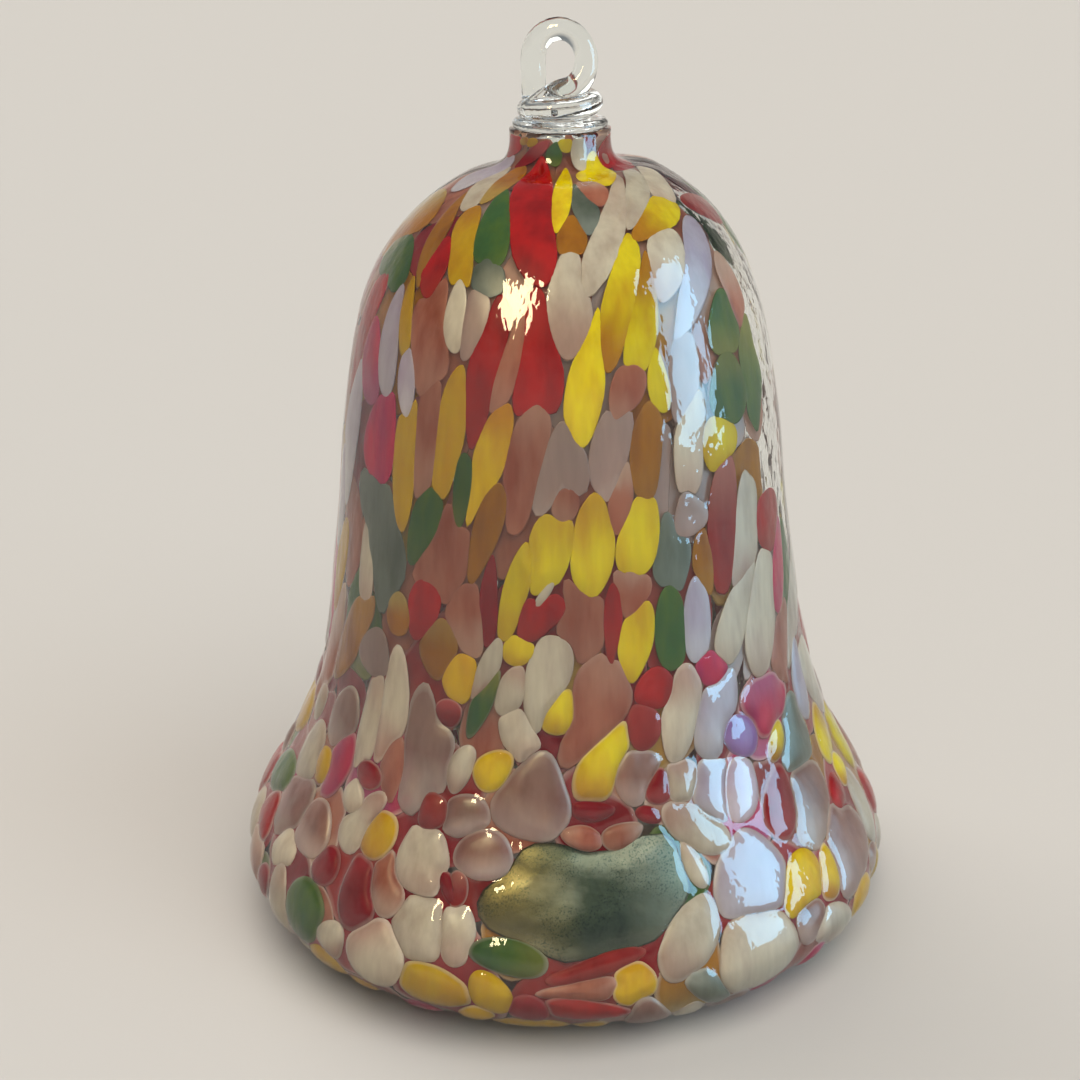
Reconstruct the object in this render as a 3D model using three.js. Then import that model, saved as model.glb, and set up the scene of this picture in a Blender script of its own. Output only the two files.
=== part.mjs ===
// Blown glass bell ornament: a hollow bell with a closed base, chips of coloured glass fused all
// over its outside, and a clear cap, wrap and curled hanging loop that seal its neck.
// Millimetres, +Z up. The origin is the centre of the foot, on the surface that the bell stands on.
// The front of the bell faces -Y. Azimuths are in degrees from the front, positive towards +X.

import * as THREE from 'three';

// Bell wall, outside, under the chips
const FOOT_DIAMETER = 62;
const BULGE_DIAMETER = 107;
const BULGE_HEIGHT = 10;
const WAIST_DIAMETER = 75.2;
const WAIST_HEIGHT = 52;
const WAIST_TAPER = 0.17;
const SHOULDER_END_DIAMETER = 18;
const SHOULDER_END_HEIGHT = 124;
const SHOULDER_END_SLOPE = 0.32;
const NECK_DIAMETER = 14.7;
const NECK_LENGTH = 5.5;

// How far each curve of the outline holds the direction that it starts or ends with
const FLARE_BULGE_REACH = 10;
const FLARE_WAIST_REACH = 26;
const SHOULDER_WAIST_REACH = 44;
const SHOULDER_END_REACH = 28;

// Bell wall, inside and underneath
const WALL = 3;
const NECK_WALL = 2.75;
const KICK_DIAMETER = 44;
const KICK_HEIGHT = 3;

// Clear glass that seals the neck
const SEAT_GAP = 0.3;
const PLUG_DEPTH = 4;
const CAP_DIAMETER = 7.8;
const CAP_HEIGHT = 3;
const CAP_EDGE = 0.8;
const WRAP_ROD = 2.5;
const WRAP_RISE = 0.8;
const WRAP_TURNS = 0.95;
const WRAP_START = -160;

// Hanging loop, one curl of clear rod that stands on the cap
const LOOP_ROD = 3;
const LOOP_WIDTH = 11.6;
const LOOP_HEIGHT = 12.6;
const LOOP_STEP_BACK = 3.5;
const LOOP_TAIL_OFFSET = 3;

// Colour chips
const CHIP_THICKNESS = 1.2;
const CHIP_RIM = 0.45;
const LUSTRE_THICKNESS = 1.4;

// Facets
const BELL_SIDES = 48;
const ROD_SIDES = 10;
const CHIP_SIDES = 12;
const CHIP_RINGS = 6;

const GLASS = { clear: 0xdfe8e2, white: 0xe6dfd2, yellow: 0xf2c500, ochre: 0xb08a18, red: 0xb5120f,
  maroon: 0x6e0a14, magenta: 0xa01048, rose: 0xb04a58, pink: 0xb08a80, mauve: 0xa890a0,
  lilac: 0xb8b0d8, green: 0x2a5a34, grey: 0x808878, lustre: 0x64786c };

// Chips on the front and sides: colour, rise in percent of the way from the foot to the neck,
// azimuth in degrees, length, width, and lean in degrees from the upright
const FRONT_CHIPS = [
  ['red', 95, -13, 15, 6, -5],
  ['white', 93, 16, 15, 4.5, 15],
  ['yellow', 94.5, 42, 9, 5, 35],
  ['yellow', 91.5, -39, 11, 4, -15],
  ['white', 87, 1, 11, 5, 0],
  ['yellow', 86, 20, 13, 5, 15],
  ['red', 80, -8, 13, 5, 5],
  ['red', 79, -22, 14, 4, 7],
  ['yellow', 78, 7, 13, 4, 12],
  ['green', 79, 49, 13, 6.5, 10],
  ['pink', 76, -41, 19, 5, -5],
  ['yellow', 71, -30, 13, 4, 12],
  ['yellow', 68, -17, 13, 4, 18],
  ['pink', 66.5, 0, 12, 6, 5],
  ['pink', 66.5, 14, 14, 4.5, 5],
  ['magenta', 70, -57, 11, 5.5, 12],
  ['grey', 57, -54, 12, 7.5, -5],
  ['green', 59, -36, 10, 5.5, 8],
  ['rose', 61, 41, 12, 5, 8],
  ['pink', 51, -21, 9, 7, -12],
  ['yellow', 48, 16, 9, 4.5, 10],
  ['white', 46, 54, 14, 7, 8],
  ['white', 42.5, -4, 11, 5, 10],
  ['white', 36, -45, 14, 5.5, 6],
  ['lilac', 37, 35, 11, 6.5, 15],
  ['yellow', 34, 10, 10, 6.5, 25],
  ['mauve', 32.5, -29, 13, 8, 0],
  ['mauve', 31, -9, 11, 8.5, 20],
  ['magenta', 26.5, -56, 10, 5.5, 13],
  ['maroon', 24, 49, 9, 6, 25],
  ['white', 21, -27, 9, 7, -13],
  ['mauve', 18.5, -66, 10, 9, 30],
  ['lilac', 17, 35, 10, 9, 45],
  ['maroon', 15.5, -41, 9, 6, -15],
];

// The large lustrous patch low on the front
const LUSTRE_CHIP = ['lustre', 18.5, 4, 17, 31, 0];

// Rings of chips round the back: rise, length, width, lean, and the colours in turn
const BACK_START = 88;
const BACK_SWEEP = 185;
const BACK_RINGS = [
  { rise: 91, length: 15, width: 5, lean: 5, colours: ['green', 'white', 'yellow', 'red', 'mauve'] },
  { rise: 72, length: 16, width: 5.5, lean: 8, colours: ['yellow', 'pink', 'red', 'white', 'ochre'] },
  { rise: 48, length: 12, width: 6.5, lean: 10, colours: ['white', 'magenta', 'yellow', 'mauve', 'red'] },
  { rise: 22, length: 10, width: 9, lean: 20, colours: ['mauve', 'yellow', 'white', 'maroon', 'lilac'] },
];

// Heights and radii that follow from the sizes above
const neckTop = SHOULDER_END_HEIGHT + NECK_LENGTH;
const boreRadius = NECK_DIAMETER / 2 - NECK_WALL;
const capSeat = neckTop + SEAT_GAP;
const capTop = capSeat + CAP_HEIGHT;
const loopLow = capTop + SEAT_GAP + LOOP_ROD / 2;

const up = new THREE.Vector2(0, 1);
const point = (radius, height) => new THREE.Vector2(radius, height);

function glass(colour, roughness) {
  return new THREE.MeshStandardMaterial({ color: GLASS[colour], roughness, metalness: 0 });
}

// One side of the bell's wall, from its foot to the top of its neck, as four joined curves
function wallOutline({ foot, base, bulge, waist, end, endHeight, neck }) {
  const outline = new THREE.CurvePath();
  const taper = point(-WAIST_TAPER, 1);
  const inwards = point(-1, SHOULDER_END_SLOPE).normalize();
  const bulgeEnd = point(bulge, BULGE_HEIGHT);
  const waistEnd = point(waist, WAIST_HEIGHT);
  const shoulderEnd = point(end, endHeight);
  const rollRadius = bulge - foot;
  const rollHeight = BULGE_HEIGHT - base;
  outline.add(new THREE.EllipseCurve(foot, BULGE_HEIGHT, rollRadius, rollHeight, -Math.PI / 2, 0));
  outline.add(new THREE.CubicBezierCurve(
    bulgeEnd,
    bulgeEnd.clone().addScaledVector(up, FLARE_BULGE_REACH),
    waistEnd.clone().addScaledVector(taper, -FLARE_WAIST_REACH),
    waistEnd,
  ));
  outline.add(new THREE.CubicBezierCurve(
    waistEnd,
    waistEnd.clone().addScaledVector(taper, SHOULDER_WAIST_REACH),
    shoulderEnd.clone().addScaledVector(inwards, -SHOULDER_END_REACH),
    shoulderEnd,
  ));
  const throat = point(neck, endHeight + (end - neck) * SHOULDER_END_SLOPE);
  const throatEnd = point(neck, throat.y + (end - neck));
  outline.add(new THREE.QuadraticBezierCurve(shoulderEnd, throat, throatEnd));
  return outline;
}

const outside = wallOutline({
  foot: FOOT_DIAMETER / 2,
  base: 0,
  bulge: BULGE_DIAMETER / 2,
  waist: WAIST_DIAMETER / 2,
  end: SHOULDER_END_DIAMETER / 2,
  endHeight: SHOULDER_END_HEIGHT,
  neck: NECK_DIAMETER / 2,
});

const inside = wallOutline({
  foot: FOOT_DIAMETER / 2 - WALL,
  base: WALL,
  bulge: BULGE_DIAMETER / 2 - WALL,
  waist: WAIST_DIAMETER / 2 - WALL,
  end: SHOULDER_END_DIAMETER / 2 - NECK_WALL,
  endHeight: SHOULDER_END_HEIGHT - WALL,
  neck: boreRadius,
});

// Points along an outline, with a number of steps for each of its curves
function outlinePoints(outline, steps) {
  return outline.curves.flatMap((curve, i) => curve.getPoints(steps[i]).slice(i === 0 ? 0 : 1));
}

// The push-up under the base, from the axis to the edge of the flat ring
function kickPoints(height, lift) {
  const rim = KICK_DIAMETER / 2;
  const curve = new THREE.CubicBezierCurve(
    point(0, height + lift), point(rim / 2, height + lift), point(rim / 2, height), point(rim, height));
  return curve.getPoints(5);
}

function revolve(points, sides) {
  return new THREE.LatheGeometry(points, sides).rotateX(Math.PI / 2);
}

// A round rod along a curve
function rod(curve, diameter, steps) {
  const section = new THREE.Shape();
  for (let i = 0; i < ROD_SIDES; i += 1) {
    const angle = (2 * Math.PI * i) / ROD_SIDES;
    const x = (diameter / 2) * Math.cos(angle);
    const y = (diameter / 2) * Math.sin(angle);
    if (i === 0) section.moveTo(x, y);
    else section.lineTo(x, y);
  }
  section.closePath();
  return new THREE.ExtrudeGeometry(section, { steps, extrudePath: curve, curveSegments: 1 });
}

function bellShell() {
  const outer = outlinePoints(outside, [7, 8, 11, 3]);
  const inner = outlinePoints(inside, [5, 5, 8, 2]);
  const points = [
    ...kickPoints(0, KICK_HEIGHT),
    ...outer,
    point(NECK_DIAMETER / 2, neckTop),
    point(boreRadius, neckTop),
    ...inner.reverse(),
    ...kickPoints(WALL, KICK_HEIGHT).reverse(),
  ];
  return revolve(points, BELL_SIDES);
}

// The clear gather that plugs the bore and sits on the rim of the neck
function neckCap() {
  const plug = boreRadius - SEAT_GAP;
  const radius = CAP_DIAMETER / 2;
  const edge = new THREE.EllipseCurve(
    radius - CAP_EDGE, capTop - CAP_EDGE, CAP_EDGE, CAP_EDGE, 0, Math.PI / 2);
  const points = [
    point(0, neckTop - PLUG_DEPTH),
    point(plug, neckTop - PLUG_DEPTH),
    point(plug, capSeat),
    point(radius, capSeat),
    ...edge.getPoints(3),
    point(0, capTop),
  ];
  return revolve(points, BELL_SIDES / 2);
}

// The trail of clear glass wound on the rim of the neck, round the cap
class WrapCurve extends THREE.Curve {
  getPoint(t, target = new THREE.Vector3()) {
    const radius = CAP_DIAMETER / 2 + SEAT_GAP + WRAP_ROD / 2;
    const angle = THREE.MathUtils.degToRad(WRAP_START + 360 * WRAP_TURNS * t);
    const height = capSeat + WRAP_ROD / 2 + WRAP_RISE * t;
    return target.set(radius * Math.sin(angle), -radius * Math.cos(angle), height);
  }
}

// The curl of the loop: in along the cap from the left, up the right side, over and down behind
function loopCurve() {
  const reachX = (LOOP_WIDTH - LOOP_ROD) / 2;
  const reachZ = (LOOP_HEIGHT - LOOP_ROD) / 2;
  const front = -LOOP_STEP_BACK / 2;
  const ringSteps = 9;
  const points = [new THREE.Vector3(-LOOP_TAIL_OFFSET, front, loopLow)];
  for (let i = 0; i <= ringSteps; i += 1) {
    const turn = i / ringSteps;
    const angle = -Math.PI / 2 + 1.5 * Math.PI * turn;
    points.push(new THREE.Vector3(
      reachX * Math.cos(angle),
      front + LOOP_STEP_BACK * turn,
      loopLow + reachZ + reachZ * Math.sin(angle),
    ));
  }
  points.push(new THREE.Vector3(-LOOP_TAIL_OFFSET, -front, loopLow + LOOP_ROD / 2));
  points.push(new THREE.Vector3(-LOOP_TAIL_OFFSET, -front, capTop + SEAT_GAP));
  return new THREE.CatmullRomCurve3(points);
}

// Where on the outside of the bell a height lies, as a length along the outline from the foot
function lengthAtHeight(height) {
  let low = 0;
  let high = outside.getLength();
  for (let i = 0; i < 40; i += 1) {
    const middle = (low + high) / 2;
    if (outside.getPoint(middle / outside.getLength()).y < height) low = middle;
    else high = middle;
  }
  return low;
}

// A point above the bell's outside: length along the outline, angle round the axis, height off the wall
function overWall(along, angle, height, target) {
  const t = THREE.MathUtils.clamp(along / outside.getLength(), 0, 1);
  const place = outside.getPoint(t);
  const tangent = outside.getTangent(t);
  const radius = place.x + tangent.y * height;
  return target.set(radius * Math.sin(angle), -radius * Math.cos(angle), place.y - tangent.x * height);
}

// A chip is a ball pressed flat on to the wall, with a round rim and a seat that follows the wall
function chip([, rise, azimuth, length, width, lean], thickness) {
  const ball = new THREE.SphereGeometry(1, CHIP_SIDES, CHIP_RINGS).rotateX(Math.PI / 2);
  const places = ball.getAttribute('position');
  const vertex = new THREE.Vector3();
  const centre = lengthAtHeight((rise / 100) * SHOULDER_END_HEIGHT);
  const radius = outside.getPoint(centre / outside.getLength()).x;
  const turn = THREE.MathUtils.degToRad(lean);
  const middle = THREE.MathUtils.degToRad(azimuth);
  for (let i = 0; i < places.count; i += 1) {
    vertex.fromBufferAttribute(places, i);
    const long = (vertex.y * length) / 2;
    const wide = (vertex.x * width) / 2;
    const along = centre + long * Math.cos(turn) - wide * Math.sin(turn);
    const across = long * Math.sin(turn) + wide * Math.cos(turn);
    const lift = vertex.z > 0
      ? CHIP_RIM + (thickness - CHIP_RIM) * vertex.z
      : CHIP_RIM * (1 + vertex.z) ** 2;
    overWall(along, middle + across / radius, SEAT_GAP + lift, vertex);
    places.setXYZ(i, vertex.x, vertex.y, vertex.z);
  }
  ball.computeVertexNormals();
  return ball;
}

function backChips() {
  return BACK_RINGS.flatMap(({ rise, length, width, lean, colours }, ring) => {
    const pitch = BACK_SWEEP / colours.length;
    return colours.map((colour, i) => {
      const azimuth = BACK_START + pitch * (i + (ring % 2 ? 0.5 : 0));
      return [colour, rise, azimuth, length, width, lean];
    });
  });
}

const bell = new THREE.Group();

function addPiece(name, geometry, material) {
  const mesh = new THREE.Mesh(geometry, material);
  mesh.name = name;
  bell.add(mesh);
}

addPiece('bell_shell', bellShell(), glass('clear', 0.05));
addPiece('neck_cap', neckCap(), glass('clear', 0.05));
addPiece('neck_wrap', rod(new WrapCurve(), WRAP_ROD, 40), glass('clear', 0.05));
addPiece('hanging_loop', rod(loopCurve(), LOOP_ROD, 44), glass('clear', 0.05));
addPiece('lustre_patch', chip(LUSTRE_CHIP, LUSTRE_THICKNESS), glass('lustre', 0.15));

const made = {};
for (const row of [...FRONT_CHIPS, ...backChips()]) {
  const colour = row[0];
  made[colour] = (made[colour] ?? 0) + 1;
  addPiece(`${colour}_chip_${made[colour]}`, chip(row, CHIP_THICKNESS), glass(colour, 0.1));
}

export default bell;
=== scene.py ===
import math
from collections import namedtuple

import bpy
import numpy as np
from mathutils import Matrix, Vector


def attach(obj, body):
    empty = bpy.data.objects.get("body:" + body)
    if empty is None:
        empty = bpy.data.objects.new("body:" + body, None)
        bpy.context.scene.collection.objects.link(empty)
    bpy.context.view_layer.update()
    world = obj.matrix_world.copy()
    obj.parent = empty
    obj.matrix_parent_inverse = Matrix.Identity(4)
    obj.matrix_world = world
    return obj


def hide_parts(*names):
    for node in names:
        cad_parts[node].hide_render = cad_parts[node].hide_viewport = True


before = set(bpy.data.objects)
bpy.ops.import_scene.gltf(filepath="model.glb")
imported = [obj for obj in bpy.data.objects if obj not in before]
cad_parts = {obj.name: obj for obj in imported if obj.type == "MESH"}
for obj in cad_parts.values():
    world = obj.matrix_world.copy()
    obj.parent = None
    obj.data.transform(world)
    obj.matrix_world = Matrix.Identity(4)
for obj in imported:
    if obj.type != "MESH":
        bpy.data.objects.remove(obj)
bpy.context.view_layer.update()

# A blown glass bell on a pale floor. One skin of clear glass carries the relief of the chips fused
# into it. The chips are closed coloured bodies under that skin, in two layers: the ones that show,
# which press against one another, and a ground of dusty glass in the gaps between them.
# Lengths are in millimetres until a mesh is made. Angles round the bell are measured from its
# front, which faces -Y, positive towards +X.

MM = 0.001
rng = np.random.default_rng(seed=20)

# Bell wall, of the solid's sizes, with a slightly steeper shoulder and a softer throat
FOOT_RADIUS = 31.0
BULGE_RADIUS = 53.5
BULGE_HEIGHT = 10.0
WAIST_RADIUS = 37.6
WAIST_HEIGHT = 52.0
WAIST_TAPER = 0.17
SHOULDER_END_RADIUS = 9.0
SHOULDER_END_HEIGHT = 124.0
SHOULDER_END_SLOPE = 0.39
NECK_RADIUS = 7.35
NECK_TOP = 129.5
THROAT_RADIUS = 10.8
THROAT_TOP = 128.2
THROAT_REACH = 0.8
FLARE_BULGE_REACH = 10.0
FLARE_WAIST_REACH = 26.0
SHOULDER_WAIST_REACH = 44.0
SHOULDER_END_REACH = 28.0
WALL = 3.0
BORE_RADIUS = 4.6
KICK_RADIUS = 22.0
KICK_HEIGHT = 3.0

# Mesh of the skin
SKIN_COLUMNS = 640
SKIN_ROWS = 340
INSIDE_ROWS = 90

# The layer of chips: its height, and lengths from the foot where it starts and from the top where it
# thins, and by how much
LAYER = 1.5
LAYER_START = (3.0, 22.0)
LAYER_THINS = (12.0, 5.0)
LAYER_THINNING = 0.75

# Relief of the skin: grooves between the chips, and the crowns of the pads on the bulge
PAD_GROOVE = 0.36
STREAK_GROOVE = 0.06
GROOVE_WIDTH = 0.6
PAD_GROOVE_WIDTH = 0.8
GROOVE_ROUNDING = 2.4
PAD_CROWN = 0.45
PAD_CROWN_REACH = 5.0
PAD_TOP = 34.0
STREAK_BOTTOM = 64.0
SOFTENING_ROUNDS = 4

# Slow waves in the skin: height, number round the bell, turn per millimetre of outline, and start.
# The shoulder's lean grows and ends between heights.
WAVES = ((0.14, 3, 0.05, 0.0), (0.09, 5, -0.11, 1.0), (0.04, 9, 0.17, 2.0), (0.05, 2, 0.29, 0.0))
SHOULDER_LEAN = 0.65
LEAN_GROWS = (104.0, 119.0)
LEAN_ENDS = (123.0, 127.0)

# Bodies of the chips: depth under the skin, thickness, gap and rim, and the same for the ground
CHIP_DEPTH = 0.25
CHIP_THICKNESS = 0.65
CHIP_GAP = -0.12
CHIP_RIM = 0.22
STREAK_RIM = 0.15
RIM_SHARPNESS = 10
RIM_UNDERSIDE = 0.6
MIDDLE_UNDERSIDE = 1.3
GROUND_DEPTH = 1.35
GROUND_THICKNESS = 0.5
GROUND_WAVER = 0.5

# How chips share the wall: the lower rank lies on top, and growth is how far a chip may spread
PAD_GROWTH = 1.22
STREAK_GROWTH = 1.40
DUSTY_GROWTH = 1.8
DUSTY_RANK = 1.3
DUSTY = ("pink", "grey", "clear")
RANK_SPREAD = 0.62
RANK_AREA = 22.0
RANK_POWER = 0.2
OUT_OF_REACH = 5.0
EDGE_REACH = 26.0
EDGE_BATCH = 3000

# Outlines of chips: how far they may taper, come to a point and bulge to one side, and the heights
# between which pads give way to streaks
CHIP_TAPER = 0.28
CHIP_POINT = 0.1
STREAK_POINT = 0.05
CHIP_LOBE = 0.035
SHAPED_REACH = 1.15
STREAK_HEIGHTS = (35.0, 70.0)
TINY = 1e-6

# Chips read off the photograph: their largest half sizes, and how near a solid one is tied to it
LONGEST_HALF = 15.0
WIDEST_HALF = 9.0
TIE_DISTANCE = 7.0

# The lustrous patch, and the petals over its upper edge
LUSTRE_HALF_SIZES = (16.6, 11.6)
LUSTRE_SHAPE = (0.12, 0.02, 0.02, -0.03)
LUSTRE_RISE = 2.1
LUSTRE_TILT = math.radians(8.5)
LUSTRE_RANK = 0.55
LUSTRE_GROWTH = 1.02
PETAL_RANK = 0.5
PETAL_GROWTH = 1.1

# The photograph's camera
PHOTO_SIZE = 1080.0
PHOTO_FOCAL = 1800.0
PHOTO_PITCH = math.radians(21.5)
PHOTO_ROLL = math.radians(0.41)
PHOTO_AXIS_X = 563.0
CAMERA_BACK = 276.0
CAMERA_UP = 171.2
SIGHT_REACH = (150.0, 400.0)
SIGHT_STEP = 0.1


# The bell's outline

def bezier(p0, p1, p2, p3, steps):
    t = np.linspace(0.0, 1.0, steps)[:, None]
    p0, p1, p2, p3 = (np.array(p, float) for p in (p0, p1, p2, p3))
    return (1 - t) ** 3 * p0 + 3 * (1 - t) ** 2 * t * p1 + 3 * (1 - t) * t ** 2 * p2 + t ** 3 * p3


def wall_outline(foot, base, bulge, waist, end, end_height, throat, throat_top, neck, top):
    """Radius and height along one side of the wall, from its foot to the top of its neck."""
    angle = np.linspace(0.0, math.pi / 2, num=80)
    roll_radius = foot + (bulge - foot) * np.sin(angle)
    roll_height = BULGE_HEIGHT - (BULGE_HEIGHT - base) * np.cos(angle)
    roll = np.stack([roll_radius, roll_height], 1)
    taper = np.array([-WAIST_TAPER, 1.0])
    inwards = np.array([-1.0, SHOULDER_END_SLOPE])
    inwards /= np.linalg.norm(inwards)
    bulge_end = np.array([bulge, BULGE_HEIGHT])
    waist_end = np.array([waist, WAIST_HEIGHT])
    shoulder_end = np.array([end, end_height])
    flare = bezier(bulge_end, bulge_end + (0.0, FLARE_BULGE_REACH),
                   waist_end - taper * FLARE_WAIST_REACH, waist_end, steps=160)
    shoulder = bezier(waist_end, waist_end + taper * SHOULDER_WAIST_REACH,
                      shoulder_end - inwards * SHOULDER_END_REACH, shoulder_end, steps=300)
    shoulder = shoulder[shoulder[:, 0] >= throat]
    throat_start = shoulder[-1]
    leaving = (throat_start - shoulder[-2]) / np.linalg.norm(throat_start - shoulder[-2])
    throat_end = np.array([neck, throat_top])
    across = (throat_start[0] - neck) * THROAT_REACH
    turn_in = bezier(throat_start, throat_start + leaving * across,
                     throat_end - (0.0, across), throat_end, steps=30)
    rise = np.linspace((neck, throat_top), (neck, top), num=12)
    return np.concatenate([roll, flare[1:], shoulder[1:], turn_in[1:], rise[1:]])


def lengths_along(outline):
    return np.concatenate([[0.0], np.cumsum(np.linalg.norm(np.diff(outline, axis=0), axis=1))])


outside = wall_outline(FOOT_RADIUS, 0.0, BULGE_RADIUS, WAIST_RADIUS, SHOULDER_END_RADIUS,
                       SHOULDER_END_HEIGHT, THROAT_RADIUS, THROAT_TOP, NECK_RADIUS, NECK_TOP)
along_outside = lengths_along(outside)
total_length = along_outside[-1]
tangents = np.gradient(outside, along_outside, axis=0)
tangents /= np.linalg.norm(tangents, axis=1)[:, None]


def wall_radius(s):
    return np.interp(s, along_outside, outside[:, 0])


def wall_height(s):
    return np.interp(s, along_outside, outside[:, 1])


def length_at_height(z):
    return np.interp(z, outside[:, 1], along_outside)


def all_round(count):
    """Angles of points spread evenly round a circle."""
    return np.arange(count) * 2 * math.pi / count


def turned(radius, z, angle):
    """Points round the bell's axis."""
    z = np.broadcast_to(z, np.shape(angle))
    return np.stack([radius * np.sin(angle), -radius * np.cos(angle), z], -1)


def over_wall(s, angle, height):
    """Points at a height off the wall, for lengths along the outline and angles round the axis."""
    radius = wall_radius(s) + np.interp(s, along_outside, tangents[:, 1]) * height
    z = wall_height(s) - np.interp(s, along_outside, tangents[:, 0]) * height
    return turned(radius, z, angle)


def smooth_ramp(x, low, high):
    t = np.clip((x - low) / (high - low), 0.0, 1.0)
    return t * t * (3 - 2 * t)


def wrapped(angle):
    return (angle + math.pi) % (2 * math.pi) - math.pi


def layer_height(s):
    """The skin's height over the wall, which fades out at the foot and thins on the neck."""
    far, near = LAYER_THINS
    neck = 1 - LAYER_THINNING * smooth_ramp(s, total_length - far, total_length - near)
    return LAYER * smooth_ramp(s, *LAYER_START) * neck


# Where a pixel of the photograph falls on the bell

def on_bell(x, y):
    """Length along the outline and angle round the axis that a pixel of the photograph shows."""
    across = (x - PHOTO_AXIS_X) / PHOTO_FOCAL
    over = (PHOTO_SIZE / 2 - y) / PHOTO_FOCAL
    right = across * math.cos(PHOTO_ROLL) + over * math.sin(PHOTO_ROLL)
    up = over * math.cos(PHOTO_ROLL) - across * math.sin(PHOTO_ROLL)
    sight = np.array([right,
                      math.cos(PHOTO_PITCH) + up * math.sin(PHOTO_PITCH),
                      up * math.cos(PHOTO_PITCH) - math.sin(PHOTO_PITCH)])
    reach = np.arange(*SIGHT_REACH, SIGHT_STEP)
    track = np.array([0.0, -CAMERA_BACK, CAMERA_UP]) + reach[:, None] * sight
    radius = np.hypot(track[:, 0], track[:, 1])
    gap = radius - np.interp(track[:, 2], outside[:, 1], outside[:, 0] + layer_height(along_outside))
    gap[track[:, 2] < 0] = np.inf
    inside = np.nonzero(gap <= 0)[0]
    hit = track[inside[0] if len(inside) else np.argmin(gap)]
    return float(length_at_height(hit[2])), math.atan2(hit[0], -hit[1])


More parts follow.
